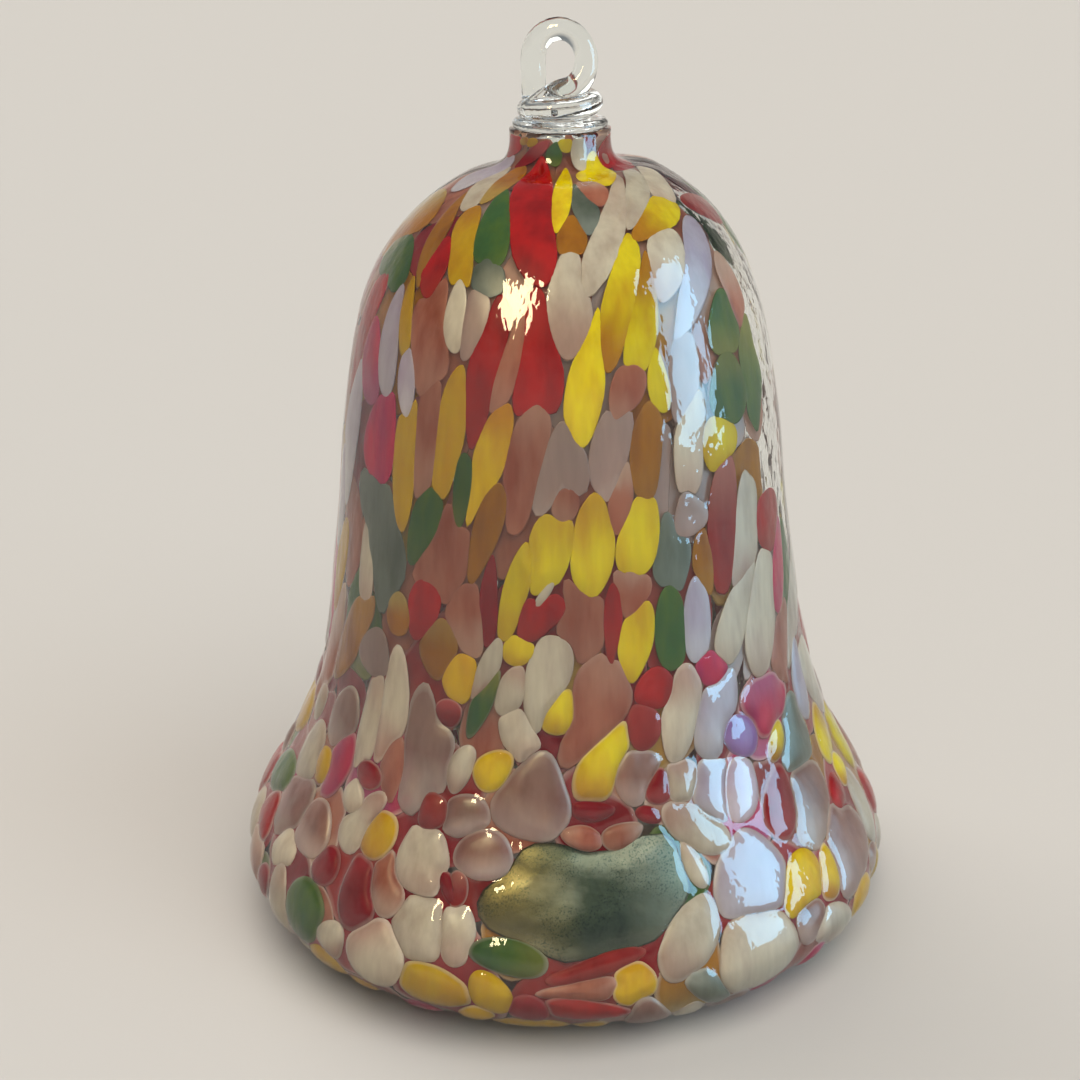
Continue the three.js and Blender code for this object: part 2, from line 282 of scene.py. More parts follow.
# Chips read off the photograph: colour, then the pixels of the upper end, the lower end and the
# width. A few that lie whole over their neighbours end with a rank and growth of their own.
PHOTO_CHIPS = [
    # Neck and dome
    ("maroon", 550, 126, 549, 141, 11), ("yellow", 567, 127, 565, 154, 11),
    ("white", 579, 127, 580, 172, 12), ("ochre", 590, 121, 597, 133, 14),
    ("rose", 586, 133, 594, 145, 12), ("ochre", 530, 132, 519, 143, 9),
    ("green", 556, 145, 553, 164, 12), ("maroon", 545, 146, 518, 166, 9),
    ("red", 533, 175, 532, 274, 45), ("red", 519, 132, 508, 152, 9), ("yellow", 536, 131, 528, 146, 9),
    ("red", 604, 144, 622, 168, 14), ("yellow", 566, 177, 559, 231, 15),
    ("white", 571, 240, 569, 346, 37), ("ochre", 570, 228, 572, 266, 29),
    ("white", 619, 175, 601, 313, 30), ("yellow", 596, 162, 601, 194, 27),
    ("pink", 592, 188, 602, 214, 20), ("grey", 583, 200, 593, 243, 24),
    ("white", 636, 175, 643, 240, 30), ("yellow", 673, 202, 646, 242, 32),
    ("white", 650, 177, 671, 211, 11), ("red", 612, 160, 632, 172, 11),
    ("yellow", 632, 241, 611, 364, 30), ("yellow", 649, 274, 640, 367, 21),
    ("yellow", 598, 322, 577, 442, 29), ("red", 541, 298, 530, 415, 42),
    ("red", 494, 320, 473, 434, 29), ("pink", 520, 338, 492, 409, 21),
    ("yellow", 464, 216, 453, 289, 22), ("green", 497, 203, 485, 262, 22),
    ("grey", 485, 256, 482, 300, 22), ("red", 437, 247, 424, 292, 20), ("pink", 430, 298, 421, 400, 30),
    ("white", 457, 287, 452, 346, 17), ("ochre", 450, 203, 413, 283, 12),
    ("white", 496, 173, 459, 210, 13), ("ochre", 519, 170, 481, 203, 11),
    ("ochre", 415, 205, 381, 262, 14), ("mauve", 477, 300, 463, 354, 28),
    ("rose", 702, 207, 719, 227, 14), ("white", 668, 238, 666, 295, 30),
    ("lilac", 700, 236, 692, 330, 22), ("pink", 727, 276, 743, 328, 12),
    ("green", 725, 302, 727, 352, 22), ("clear", 741, 232, 758, 300, 20),
    ("clear", 757, 300, 768, 380, 22), ("green", 748, 330, 757, 420, 16),
    ("clear", 770, 384, 777, 470, 16), ("clear", 748, 424, 752, 482, 16),
    ("green", 398, 226, 384, 282, 14),
    # Waist
    ("yellow", 457, 385, 432, 492, 28), ("yellow", 408, 415, 400, 517, 18),
    ("pink", 429, 402, 423, 487, 22), ("yellow", 503, 408, 471, 514, 30),
    ("pink", 536, 408, 515, 502, 32), ("mauve", 568, 430, 556, 529, 43),
    ("yellow", 557, 523, 535, 605, 33), ("yellow", 597, 508, 590, 588, 35),
    ("yellow", 646, 500, 635, 568, 30), ("mauve", 617, 420, 611, 512, 34),
    ("ochre", 648, 421, 645, 505, 24), ("green", 729, 358, 731, 418, 26),
    ("yellow", 722, 420, 718, 468, 26), ("rose", 725, 466, 723, 580, 24),
    ("white", 748, 482, 742, 597, 20), ("red", 765, 500, 771, 544, 18),
    ("magenta", 373, 328, 369, 394, 15), ("magenta", 386, 396, 374, 470, 21),
    ("lilac", 394, 303, 383, 385, 12), ("lilac", 406, 357, 404, 409, 12),
    ("yellow", 407, 289, 402, 351, 9), ("grey", 376, 480, 372, 590, 30),
    ("white", 367, 533, 365, 598, 10), ("green", 433, 493, 415, 558, 24),
    ("green", 464, 466, 458, 523, 14), ("ochre", 495, 500, 474, 573, 20),
    ("pink", 452, 522, 436, 591, 36), ("ochre", 398, 600, 398, 633, 16),
    ("maroon", 490, 570, 486, 640, 14), ("grey", 670, 533, 673, 584, 25),
    ("lilac", 697, 590, 699, 657, 21), ("ochre", 704, 536, 707, 592, 18),
    ("mauve", 688, 500, 695, 531, 24), ("mauve", 686, 345, 683, 420, 24),
    ("white", 693, 400, 690, 498, 24), ("pink", 640, 362, 617, 420, 20),
    ("pink", 580, 590, 586, 662, 44), ("pink", 632, 570, 629, 622, 26),
    ("white", 551, 585, 530, 619, 9),
    # Flare, left
    ("red", 428, 588, 416, 633, 24), ("ochre", 439, 627, 437, 676, 30),
    ("pink", 462, 584, 474, 652, 42), ("yellow", 463, 661, 455, 701, 31),
    ("white", 496, 649, 475, 707, 18), ("green", 493, 673, 469, 734, 18),
    ("yellow", 531, 550, 504, 640, 23), ("red", 551, 602, 523, 640, 27),
    ("yellow", 524, 638, 515, 664, 28), ("white", 552, 649, 537, 731, 37),
    ("yellow", 567, 698, 551, 734, 24), ("white", 384, 664, 358, 772, 19),
    ("white", 400, 660, 376, 766, 29), ("mauve", 380, 637, 368, 670, 24),
    ("maroon", 447, 704, 447, 728, 21), ("mauve", 429, 698, 418, 812, 54),
    ("pink", 397, 735, 382, 792, 26), ("white", 466, 753, 450, 793, 21),
    ("yellow", 508, 756, 476, 790, 35, 0.6, 1.06), ("mauve", 546, 757, 521, 846, 76, 0.55, 1.04),
    ("mauve", 458, 798, 466, 840, 54, 0.7, 1.06), ("mauve", 478, 834, 486, 884, 58, 0.6, 1.06),
    ("white", 421, 830, 420, 897, 46), ("white", 420, 898, 414, 962, 56),
    ("white", 456, 912, 453, 967, 32), ("yellow", 386, 823, 359, 854, 34),
    ("white", 378, 802, 338, 848, 29), ("maroon", 358, 858, 352, 932, 34),
    ("maroon", 331, 857, 310, 881, 24), ("green", 291, 885, 303, 937, 31),
    ("white", 359, 930, 383, 983, 46), ("white", 322, 927, 331, 958, 21),
    ("yellow", 398, 979, 466, 1001, 30), ("yellow", 472, 983, 506, 1013, 28),
    ("maroon", 509, 1010, 545, 1016, 18), ("mauve", 306, 790, 271, 820, 33),
    ("mauve", 319, 808, 297, 851, 29), ("white", 319, 731, 293, 780, 18),
    ("magenta", 348, 738, 320, 797, 19), ("mauve", 352, 695, 330, 741, 22),
    ("yellow", 323, 753, 313, 782, 17), ("maroon", 368, 768, 361, 790, 22),
    ("white", 352, 784, 346, 814, 18), ("rose", 441, 805, 420, 829, 28),
    ("rose", 457, 878, 450, 909, 21), ("pink", 383, 866, 377, 912, 26), ("red", 267, 797, 258, 838, 12),
    ("white", 287, 825, 271, 868, 19),
    # Flare, right
    ("yellow", 639, 610, 632, 676, 30), ("red", 615, 594, 612, 658, 14),
    ("green", 671, 600, 675, 664, 26), ("white", 751, 560, 728, 656, 20),
    ("white", 763, 560, 763, 670, 26), ("magenta", 724, 660, 705, 684, 36),
    ("red", 659, 673, 656, 707, 32), ("rose", 644, 710, 647, 750, 28),
    ("white", 689, 673, 679, 756, 34), ("lilac", 723, 672, 714, 756, 37),
    ("magenta", 765, 680, 774, 731, 38), ("violet", 751, 722, 739, 752, 34),
    ("yellow", 783, 725, 780, 762, 12), ("grey", 797, 713, 800, 762, 18),
    ("pink", 610, 667, 588, 753, 46), ("yellow", 624, 724, 590, 802, 42),
    ("mauve", 641, 756, 635, 805, 42), ("maroon", 662, 774, 660, 806, 24),
    ("white", 687, 766, 681, 810, 33), ("lilac", 714, 765, 721, 829, 40),
    ("lilac", 748, 762, 739, 820, 37), ("maroon", 784, 772, 786, 838, 26),
    ("mauve", 812, 764, 816, 845, 40), ("white", 669, 815, 727, 848, 36),
    ("lilac", 772, 850, 738, 922, 68), ("yellow", 815, 857, 803, 921, 34),
    ("yellow", 831, 851, 837, 900, 16), ("mauve", 852, 810, 854, 891, 38),
    ("white", 709, 906, 674, 979, 50), ("white", 790, 924, 732, 985, 60),
    ("yellow", 641, 970, 629, 1006, 38), ("white", 846, 910, 834, 943, 24),
    ("mauve", 822, 905, 809, 943, 24),
    # Round the lustrous patch
    ("maroon", 573, 815, 612, 816, 18), ("maroon", 640, 815, 662, 824, 14),
    ("white", 686, 848, 706, 888, 17), ("maroon", 440, 880, 456, 908, 16),
    ("rose", 652, 952, 556, 985, 24), ("red", 548, 1012, 625, 1015, 14),
    ("grey", 700, 985, 735, 1000, 14), ("green", 472, 955, 540, 968, 32),
    ("pink", 556, 1000, 622, 988, 16),
]
PATCH_PETALS = [("pink", 564, 838, 603, 848, 24), ("pink", 604, 848, 643, 832, 24)]

# How often each colour falls in the scatter round the sides and back, and in the ground beneath,
# which is redder between the pads than between the streaks
SCATTER = {"white": 0.24, "yellow": 0.20, "pink": 0.13, "mauve": 0.12, "red": 0.07, "magenta": 0.05,
           "maroon": 0.05, "rose": 0.04, "green": 0.04, "ochre": 0.03, "lilac": 0.03}
PAD_GROUND = {"maroon": 0.30, "rose": 0.24, "pink": 0.22, "magenta": 0.10, "ochre": 0.08, "green": 0.06}
STREAK_GROUND = {"pink": 0.58, "mauve": 0.14, "rose": 0.12, "ochre": 0.08, "green": 0.04, "maroon": 0.04}
PAD_ODDS_TOP = 49.0

# Scattered chips: margins at either end of the outline, spread of their sizes, and their lean
SCATTER_LOW = 3.0
SCATTER_HIGH = 2.0
SCATTER_STREAKS = (28.0, 72.0)
SCATTER_SHRINK = 0.5
LENGTH_LEAST = 0.7
LENGTH_SPREAD = 0.65
WIDTH_LEAST = 0.75
WIDTH_SPREAD = 0.5
WIDTH_MOST = 0.34
STREAK_TILT = 0.1
PAD_TILT = 0.25
STREAK_TURN = 0.4
PAD_TURN = 1.6
NEIGHBOUR_LENGTH = 32.0
NEIGHBOUR_ANGLE = 1.3
NEAREST = 0.05

# Sides of barer, greener glass: middle and half width as angles, lowest height, bareness
BARE_SIDES = (
    (math.radians(84), math.radians(30), 58.0, 0.75),
    (math.radians(-92), math.radians(26), 72.0, 0.15),
)
BARE_CORE = 0.6
BARE_RISE = 14.0

# Columns of a chip's row: the length along the outline and the angle of its middle, its half sizes,
# its lean from the upright, four values for its outline, its rank and its growth
PLACE, ANGLE, HALF_LENGTH, HALF_WIDTH, LEAN = range(5)
TAPER, POINT, LOBE_ALONG, LOBE_ACROSS, RANK, GROWTH = range(5, 11)


def bareness(z, angle):
    """How bare of chips the glass is at a place, from 0 to 1."""
    worst = 0.0
    for middle, half, low, most in BARE_SIDES:
        side = 1 - float(smooth_ramp(abs(wrapped(angle - middle)), half * BARE_CORE, half))
        worst = max(worst, most * side * float(smooth_ramp(z, low, low + BARE_RISE)))
    return worst


class Chips:
    """Rows of chips, with each chip's colour and the name of its solid, if it has one.

    A chip spreads past its half sizes by up to its growth where others leave room. The dusty colours
    lie under the bright ones and spread further. Clear chips have no body and keep their place bare.
    """

    def __init__(self):
        self.rows = []
        self.colours = []
        self.nodes = []

    def add(self, s, angle, half_length, half_width, lean, colour, node=None,
            rank=None, growth=None, shape=None):
        streak = float(smooth_ramp(wall_height(s), *STREAK_HEIGHTS))
        taper = rng.uniform(-CHIP_TAPER, CHIP_TAPER)
        point = rng.uniform(-CHIP_POINT, CHIP_POINT) + STREAK_POINT * streak
        lobes = rng.normal(0.0, CHIP_LOBE, 2)
        shape = shape or (taper, point, *lobes)
        bright_growth = PAD_GROWTH + (STREAK_GROWTH - PAD_GROWTH) * streak
        rank = rank or (DUSTY_RANK if colour in DUSTY else 1.0) * rng.uniform(RANK_SPREAD, 1.0)
        growth = growth or (DUSTY_GROWTH if colour in DUSTY else bright_growth)
        self.rows.append((s, angle, half_length, half_width, lean, *shape, rank, growth))
        self.colours.append(colour)
        self.nodes.append(node)

    def table(self):
        return np.array(self.rows)


def measure(s, angle, rows):
    """How far each point lies from each chip's middle, as a share of the way to that chip's outline."""
    ds = s[:, None] - rows[None, :, PLACE]
    radius = (wall_radius(s)[:, None] + wall_radius(rows[:, PLACE])[None]) / 2
    dw = wrapped(angle[:, None] - rows[None, :, ANGLE]) * radius
    cos = np.cos(rows[:, LEAN])
    sin = np.sin(rows[:, LEAN])
    long = (ds * cos + dw * sin) / rows[:, HALF_LENGTH]
    wide = (dw * cos - ds * sin) / rows[:, HALF_WIDTH]
    near = np.clip(long, -SHAPED_REACH, SHAPED_REACH)
    wide = wide / (1 + rows[:, TAPER] * near - rows[:, POINT] * near * near)
    m = np.sqrt(long * long + wide * wide) + TINY
    turn = long * (long * long - 3 * wide * wide) * rows[:, LOBE_ALONG]
    turn += wide * (3 * long * long - wide * wide) * rows[:, LOBE_ACROSS]
    return m * (1 + turn / m ** 3)


def photo_chips(chip_set, read, rank=None, growth=None):
    """Adds chips read off the photograph, with the place, size and lean that they have on the bell."""
    for colour, x_top, y_top, x_low, y_low, width, *own in read:
        s_top, angle_top = on_bell(x_top, y_top)
        s_low, angle_low = on_bell(x_low, y_low)
        x = (x_top + x_low) / 2
        y = (y_top + y_low) / 2
        s, angle = on_bell(x, y)
        # Two points half a width apart, on either side of the middle
        reach = math.hypot(x_top - x_low, y_top - y_low)
        side_x = (y_low - y_top) / reach * width / 4
        side_y = (x_top - x_low) / reach * width / 4
        s_one, angle_one = on_bell(x + side_x, y + side_y)
        s_two, angle_two = on_bell(x - side_x, y - side_y)
        radius = float(wall_radius(s))
        long = np.array([s_top - s_low, wrapped(angle_top - angle_low) * radius])
        wide = np.array([s_one - s_two, wrapped(angle_one - angle_two) * radius])
        half_length = min(np.linalg.norm(long) / 2, LONGEST_HALF)
        half_width = min(np.linalg.norm(wide), WIDEST_HALF)
        lean = math.atan2(long[1], long[0])
        chip_set.add(s, angle, half_length, half_width, lean, colour, rank=rank, growth=growth)
        if own:
            chip_set.rows[-1] = (*chip_set.rows[-1][:RANK], *own)


def solid_chips(chip_set):
    """Ties each solid to the chip that was read in its place, or else adds a chip for it."""
    read = len(chip_set.rows)
    for name, node in sorted(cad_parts.items()):
        if "_chip_" not in name and name != "lustre_patch":
            continue
        colour = name.split("_")[0]
        places = np.array([v.co for v in node.data.vertices]) / MM
        s = length_at_height(places[:, 2])
        angle = np.arctan2(places[:, 0], -places[:, 1])
        middle = math.atan2(np.sin(angle).mean(), np.cos(angle).mean())
        s_middle = (s.min() + s.max()) / 2
        radius = float(wall_radius(s_middle))
        far = [math.inf] * read
        for i, row in enumerate(chip_set.rows[:read]):
            if chip_set.colours[i] == colour and not chip_set.nodes[i]:
                far[i] = math.hypot(row[PLACE] - s_middle, wrapped(row[ANGLE] - middle) * radius)
        if min(far) < TIE_DISTANCE:
            chip_set.nodes[int(np.argmin(far))] = name
        elif colour == "lustre":
            lean = math.pi / 2 - LUSTRE_TILT
            chip_set.add(s_middle + LUSTRE_RISE, middle, *LUSTRE_HALF_SIZES, lean, colour, name,
                         LUSTRE_RANK, LUSTRE_GROWTH, LUSTRE_SHAPE)
        else:
            spread = np.stack([s - s_middle, wrapped(angle - middle) * radius], 1)
            axes = np.linalg.eigh(np.cov(spread.T))[1]
            long = axes[:, 1] * np.sign(axes[0, 1] or 1.0)
            half_length = np.abs(spread @ long).max()
            half_width = np.abs(spread @ np.array([-long[1], long[0]])).max()
            lean = math.atan2(long[1], long[0])
            chip_set.add(s_middle, middle, half_length, half_width, lean, colour, name)


def scatter_chips(chip_set, pad_odds, streak_odds, tries, sizes, overlap, bare, growth=None):
    """Fills what is still free: long streaks on the dome and sides, rounder pads on the bulge.

    The sizes are the half length of a pad and what a streak adds to it, and the same for half widths.
    """
    pad_length, more_length, pad_width, more_width = sizes
    for attempt in range(tries):
        s = rng.uniform(SCATTER_LOW, total_length - SCATTER_HIGH)
        angle = rng.uniform(-math.pi, math.pi)
        crowd, length, width, turn, pick, clearness = rng.uniform(size=6)
        # Fewer tries go to the narrow parts of the bell, which have less wall
        if crowd > wall_radius(s) / BULGE_RADIUS:
            continue
        z = float(wall_height(s))
        streak = float(smooth_ramp(z, *SCATTER_STREAKS))
        shrink = 1.0 - SCATTER_SHRINK * attempt / tries
        half_length = (pad_length + more_length * streak) * (LENGTH_LEAST + LENGTH_SPREAD * length)
        half_length *= shrink
        half_width = (pad_width + more_width * streak) * (WIDTH_LEAST + WIDTH_SPREAD * width) * shrink
        half_width = min(half_width, float(wall_radius(s)) * WIDTH_MOST)
        either_way = STREAK_TURN + PAD_TURN * (1 - streak)
        lean = STREAK_TILT + PAD_TILT * (1 - streak) + (turn - 0.5) * either_way
        one = np.array([[s, angle, half_length, half_width, lean, 0.0, 0.0, 0.0, 0.0]])
        if chip_set.rows:
            rows = chip_set.table()
            beside = np.abs(wrapped(rows[:, ANGLE] - angle)) < NEIGHBOUR_ANGLE
            rows = rows[(np.abs(rows[:, PLACE] - s) < NEIGHBOUR_LENGTH) & beside]
            there = np.maximum(measure(np.array([s]), np.array([angle]), rows)[0], NEAREST)
            back = np.maximum(measure(rows[:, PLACE], rows[:, ANGLE], one)[:, 0], NEAREST)
            if len(rows) and (1 / there + 1 / back).max() > overlap:
                continue
        odds = pad_odds if z < PAD_ODDS_TOP else streak_odds
        share = np.cumsum(list(odds.values()))
        colour = list(odds)[int(np.searchsorted(share / share[-1], pick))]
        if clearness < bareness(z, angle) * bare:
            colour = "clear"
        chip_set.add(s, angle, half_length, half_width, lean, colour, growth=growth)


top_set = Chips()
photo_chips(top_set, PHOTO_CHIPS)
photo_chips(top_set, PATCH_PETALS, PETAL_RANK, PETAL_GROWTH)
solid_chips(top_set)
scatter_chips(top_set, SCATTER, SCATTER, tries=9000, sizes=(4.8, 3.8, 3.6, -1.0),
              overlap=0.98, bare=0.9)
chips = top_set.table()
ground_set = Chips()
scatter_chips(ground_set, PAD_GROUND, STREAK_GROUND, tries=3000, sizes=(6.5, 3.0, 5.0, -0.8),
              overlap=1.15, bare=1.0, growth=DUSTY_GROWTH)
ground = ground_set.table()


# Relief of the skin

def rank_weight(rows):
    """Small chips lie over large ones, so they win more of a place that both reach."""
    return (rows[:, HALF_LENGTH] * rows[:, HALF_WIDTH] / RANK_AREA) ** RANK_POWER * rows[:, RANK]


def room_left(own, own_weight, own_width, m, rows, weight):
    """How far points of one chip lie from where each of the others takes over.

    A chip takes over where it lies higher and reaches. The measures of the points are in own and m.
    """
    stiff = own_weight / own_width + weight / rows[:, HALF_WIDTH]
    over = (m * weight - own * own_weight) / stiff
    return np.maximum(over, (m - rows[:, GROWTH]) * rows[:, HALF_WIDTH])


def edge_depth(s, angle):
    """How far in from the nearest edge of a chip each point lies, negative in the gaps between chips.

    Of the chips that reach a point, the one that lies highest there has it.
    """
    order = np.argsort(s, kind="stable")
    edge = np.empty(len(s))
    for start in range(0, len(s), EDGE_BATCH):
        part = order[start:start + EDGE_BATCH]
        above = chips[:, PLACE] > s[part[0]] - EDGE_REACH
        below = chips[:, PLACE] < s[part[-1]] + EDGE_REACH
        rows = chips[above & below]
        weight = rank_weight(rows)
        m = measure(s[part], angle[part], rows)
        felt = np.where(m < rows[:, GROWTH], m * weight, OUT_OF_REACH + m)
        first = np.argmin(felt, axis=1)
        each = np.arange(len(part))
        own = m[each, first]
        own_width = rows[first, HALF_WIDTH]
        free = (rows[first, GROWTH] - own) * own_width
        room = room_left(own[:, None], weight[first][:, None], own_width[:, None], m, rows, weight)
        room[each, first] = np.inf
        edge[part] = np.minimum(free, room.min(1))
    return edge


def pad_share(s):
    """One on the bulge, where chips stand out as pads, and none on the dome, where they lie flush."""
    return 1 - smooth_ramp(wall_height(s), PAD_TOP, STREAK_BOTTOM)


def groove_depth(s):
    return (STREAK_GROOVE + (PAD_GROOVE - STREAK_GROOVE) * pad_share(s)) * layer_height(s) / LAYER


def hand_waver(s, angle):
    """The slow unevenness of hand-blown glass, whose shoulder stands higher on the right."""
    waves = sum(high * np.sin(count * angle + turn * s + start) for high, count, turn, start in WAVES)
    z = wall_height(s)
    leaning = smooth_ramp(z, *LEAN_GROWS) * (1 - smooth_ramp(z, *LEAN_ENDS))
    waves = waves + SHOULDER_LEAN * np.sin(angle) * leaning
    return waves * layer_height(s) / LAYER


def pad_crown(s, edge):
    """How far a pad's top falls off from its middle towards its edges."""
    fall = (1 - np.clip(edge / PAD_CROWN_REACH, 0.0, 1.0)) ** 2
    return PAD_CROWN * pad_share(s) * layer_height(s) / LAYER * fall


def skin_height(s, angle, edge, crown_fall):
    deep = groove_depth(s)
    wide = GROOVE_WIDTH + PAD_GROOVE_WIDTH * deep / PAD_GROOVE
    crown = 1 - (1 - np.clip(edge / wide, 0.0, 1.0)) ** GROOVE_ROUNDING
    return layer_height(s) - deep * (1 - crown) - crown_fall + hand_waver(s, angle)


def evened(values):
    """Values round a ring, each drawn towards its neighbours."""
    return (np.roll(values, 1, axis=-1) + 2 * values + np.roll(values, -1, axis=-1)) / 4


def softened(grid):
    """A grid of heights with its ridges rounded. Its columns go round the bell and its rows don't."""
    for _ in range(SOFTENING_ROUNDS):
        grid = evened(grid)
        padded = np.concatenate([grid[:1], grid, grid[-1:]])
        grid = (padded[:-2] + 2 * grid + padded[2:]) / 4
    return grid


# Meshes

def add_mesh(name, points, faces, smooth=True):
    mesh = bpy.data.meshes.new(name)
    mesh.from_pydata((np.asarray(points) * MM).tolist(), [], faces)
    mesh.polygons.foreach_set("use_smooth", [smooth] * len(mesh.polygons))
    mesh.update()
    piece = bpy.data.objects.new(name, mesh)
    bpy.context.scene.collection.objects.link(piece)
    return piece


def ring_faces(first, second, count):
    """Quads between two rings of vertices that start at two indices."""
    steps = [(i, (i + 1) % count) for i in range(count)]
    return [(first + i, first + j, second + j, second + i) for i, j in steps]


def tube_faces(first, last, count, offset=0):
    """Quads along a run of rings, from the first ring to the last."""
    faces = []
    for ring in range(first, last):
        faces += ring_faces(offset + ring * count, offset + (ring + 1) * count, count)
    return faces


def fan_faces(first, count, centre, flip=False):
    """Triangles from a ring of vertices to one in its middle."""
    fan = [(first + i, first + (i + 1) % count, centre) for i in range(count)]
    return [(b, a, c) for a, b, c in fan] if flip else fan


def lofted(name, rings, start, end):
    """A closed body through rings of points, with a point in the middle of either end."""
    sides = len(rings[0])
    count = len(rings) * sides
    faces = tube_faces(0, len(rings) - 1, sides)
    faces += fan_faces(0, sides, count, flip=True)
    faces += fan_faces(count - sides, sides, count + 1)
    return add_mesh(name, np.concatenate([*rings, [start, end]]), faces)


def bell_skin():
    """The bell's glass: the outside with its relief, the rim of the neck, the bore and the inside."""
    columns = SKIN_COLUMNS
    turn = all_round(columns)
    lengths = np.linspace(0.0, total_length, SKIN_ROWS)
    s, angle = (a.ravel() for a in np.meshgrid(lengths, turn, indexing="ij"))
    edge = edge_depth(s, angle)
    crown_fall = softened(pad_crown(s, edge).reshape(SKIN_ROWS, columns)).ravel()
    points = [over_wall(s, angle, skin_height(s, angle, edge, crown_fall))]
    inside = wall_outline(FOOT_RADIUS - WALL, WALL, BULGE_RADIUS - WALL, WAIST_RADIUS - WALL,
                          SHOULDER_END_RADIUS - WALL, SHOULDER_END_HEIGHT - WALL,
                          THROAT_RADIUS - WALL, THROAT_TOP - WALL, BORE_RADIUS, NECK_TOP)
    spread = lengths_along(inside)
    fine = np.linspace(spread[-1], 0.0, INSIDE_ROWS)
    kick = bezier((0.0, KICK_HEIGHT), (KICK_RADIUS / 2, KICK_HEIGHT), (KICK_RADIUS / 2, 0.0),
                  (KICK_RADIUS, 0.0), steps=12)
    rings = list(zip(np.interp(fine, spread, inside[:, 0]), np.interp(fine, spread, inside[:, 1])))
    rings += [(r, z + WALL) for r, z in kick[:0:-1]]
    under = [(r, z) for r, z in kick[1:]]
    for r, z in rings + under:
        points.append(turned(r, z, turn))
    points.append(np.array([[0.0, 0.0, KICK_HEIGHT + WALL], [0.0, 0.0, KICK_HEIGHT]]))
    first_under = SKIN_ROWS + len(rings)
    last_under = first_under + len(under) - 1
    centre = (last_under + 1) * columns
    faces = tube_faces(0, first_under - 1, columns)
    faces += fan_faces((first_under - 1) * columns, columns, centre)
    faces += fan_faces(first_under * columns, columns, centre + 1, flip=True)
    faces += tube_faces(first_under, last_under, columns)
    faces += ring_faces(last_under * columns, 0, columns)
    return add_mesh("bell_glass", np.concatenate(points), faces), (SKIN_ROWS - 1) * columns


# Mesh of a chip: spokes from its middle, rings as shares of the way to its edge, how far a spoke may
# reach in half sizes, and the margins that chips keep to the ends of the outline
CHIP_SIDES = 36
CHIP_FRACTIONS = np.array([1.0, 0.97, 0.86, 0.6, 0.32])
SPOKES = np.linspace(0.0, 2 * math.pi, CHIP_SIDES, endpoint=False)
SPOKE_STEPS = np.linspace(0.06, 2.2, 54)
CHIP_LOW = 1.5
CHIP_HIGH = 0.6
NEIGHBOURS = 30
EDGE_BULGE = 1.02


def chip_edges(rows, gap):
    """How far each chip reaches in every direction before its own outline or a chip over it ends it."""
    weight = rank_weight(rows)
    edges = np.empty((len(rows), CHIP_SIDES))
    for i, row in enumerate(rows):
        s, angle, half_length, half_width, lean = row[:TAPER]
        radius = float(wall_radius(s))
        long = SPOKE_STEPS[None] * np.cos(SPOKES)[:, None] * half_length
        wide = SPOKE_STEPS[None] * np.sin(SPOKES)[:, None] * half_width
        points_s = (s + long * math.cos(lean) - wide * math.sin(lean)).ravel()
        points_angle = angle + (long * math.sin(lean) + wide * math.cos(lean)).ravel() / radius
        apart = np.hypot(rows[:, PLACE] - s, wrapped(rows[:, ANGLE] - angle) * radius)
        near = np.argsort(apart)[1:NEIGHBOURS]
        own = measure(points_s, points_angle, rows[i:i + 1])
        m = measure(points_s, points_angle, rows[near])
        room = room_left(own, weight[i], half_width, m, rows[near], weight[near])
        clear = (room.min(1) > gap / 2) & (own[:, 0] < row[GROWTH])
        clear &= (points_s > CHIP_LOW) & (points_s < total_length - CHIP_HIGH)
        clear = clear.reshape(CHIP_SIDES, len(SPOKE_STEPS))
        blocked = np.where(clear.all(1), len(SPOKE_STEPS), np.argmin(clear, axis=1))
        far = SPOKE_STEPS[np.maximum(blocked - 1, 0)]
        edges[i] = evened(np.minimum(far * EDGE_BULGE, evened(far)))
    return edges


def chip_bodies(rows, edges, top_height, thickness, rim_drop):
    """The points of every chip: rings and middle of its top, then rim and middle of its underside."""
    columns = rows.T[:, :, None, None]
    reach = edges[:, None, :] * CHIP_FRACTIONS[None, :, None]
    long = reach * np.cos(SPOKES) * columns[HALF_LENGTH]
    wide = reach * np.sin(SPOKES) * columns[HALF_WIDTH]
    cos = np.cos(columns[LEAN])
    sin = np.sin(columns[LEAN])
    s = columns[PLACE] + long * cos - wide * sin
    angle = columns[ANGLE] + (long * sin + wide * cos) / wall_radius(columns[PLACE])
    ring_height = top_height(s.ravel(), angle.ravel()).reshape(s.shape)
    rim_share = STREAK_RIM + (1 - STREAK_RIM) * pad_share(s)
    ring_height = ring_height - rim_drop * rim_share * (CHIP_FRACTIONS ** RIM_SHARPNESS)[None, :, None]
    middle_height = top_height(rows[:, PLACE], rows[:, ANGLE])
    bodies = []
    for i in range(len(rows)):
        middle = rows[i:i + 1, PLACE], rows[i:i + 1, ANGLE]
        height = middle_height[i:i + 1]
        bodies.append(np.concatenate([
            over_wall(s[i].ravel(), angle[i].ravel(), ring_height[i].ravel()),
            over_wall(*middle, height),
            over_wall(s[i, 1], angle[i, 1], ring_height[i, 0] - thickness * RIM_UNDERSIDE),
            over_wall(*middle, height - thickness * MIDDLE_UNDERSIDE)]))
    return bodies


def chip_faces(offset):
    """Top rings, middle, rim and underside of one chip."""
    rings = len(CHIP_FRACTIONS)
    faces = tube_faces(0, rings - 1, CHIP_SIDES, offset)
    centre = offset + rings * CHIP_SIDES
    faces += fan_faces(offset + (rings - 1) * CHIP_SIDES, CHIP_SIDES, centre)
    faces += ring_faces(centre + 1, offset, CHIP_SIDES)
    faces += fan_faces(centre + 1, CHIP_SIDES, centre + 1 + CHIP_SIDES, flip=True)
    return faces


